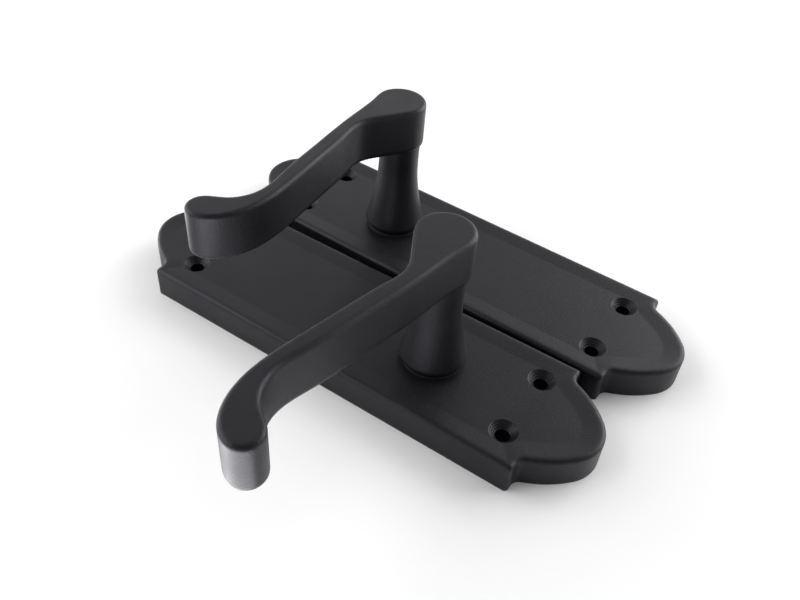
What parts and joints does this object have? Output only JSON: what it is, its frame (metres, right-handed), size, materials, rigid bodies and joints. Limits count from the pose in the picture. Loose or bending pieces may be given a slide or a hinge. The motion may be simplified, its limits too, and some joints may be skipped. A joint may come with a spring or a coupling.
{
  "type": "lever latch handle set",
  "caption": "Handed pair of lever latch handles on long shaped backplates with arched ends, countersunk screw holes, waisted necks and slim curved levers in satin black.",
  "frame": {"origin": "centre of the front backplate, at the level of its back face", "axes": "+Z out of the front of the plates, +X along the front backplate towards its lever's end, levers pointing to -Y"},
  "size_m": [0.175, 0.1603, 0.0596],
  "materials": {
    "black_coating": "satin black powder coat on cast metal",
    "bush_nylon": "moulded",
    "washer_nylon": "moulded",
    "pin_steel": "turned",
    "spring_steel": "oiled",
    "clip_steel": "blackened",
    "plated_steel": "zinc plated"
  },
  "bodies": {
    "front_plate": {"front_backplate": "black_coating", "front_bearing_bush": "bush_nylon", "front_stop_pins": "pin_steel", "front_return_spring": "spring_steel", "front_spring_cover": "plated_steel", "front_cover_screws": "plated_steel"},
    "front_handle": {"front_lever": "black_coating", "front_drive_plate": "plated_steel", "front_thrust_washer": "washer_nylon", "front_spring_washer": "spring_steel", "front_circlip": "clip_steel"},
    "rear_plate": {"rear_backplate": "black_coating", "rear_bearing_bush": "bush_nylon", "rear_stop_pins": "pin_steel", "rear_return_spring": "spring_steel", "rear_spring_cover": "plated_steel", "rear_cover_screws": "plated_steel"},
    "rear_handle": {"rear_lever": "black_coating", "rear_drive_plate": "plated_steel", "rear_thrust_washer": "washer_nylon", "rear_spring_washer": "spring_steel", "rear_circlip": "clip_steel"}
  },
  "joints": [
    {"name": "front_lever_turn", "type": "hinge", "parent": "front_plate", "child": "front_handle", "pos_m": [0.0273, 0, 0.0105], "axis": [0, 0, 1], "range_deg": [0, 45], "stiffness_Nm_per_rad": 1.2, "springref_deg": -11.46, "deforming": ["front_return_spring"]},
    {"name": "rear_handle_lift", "type": "slide", "parent": "front_plate", "child": "rear_plate", "axis": [0, 0, 1], "range_m": [0, 0.12]},
    {"name": "rear_lever_turn", "type": "hinge", "parent": "rear_plate", "child": "rear_handle", "pos_m": [-0.02029, 0.04899, 0.0105], "axis": [0, 0, 1], "range_deg": [-41.8, 3.2], "stiffness_Nm_per_rad": 1.2, "deforming": ["rear_return_spring"]}
  ]
}
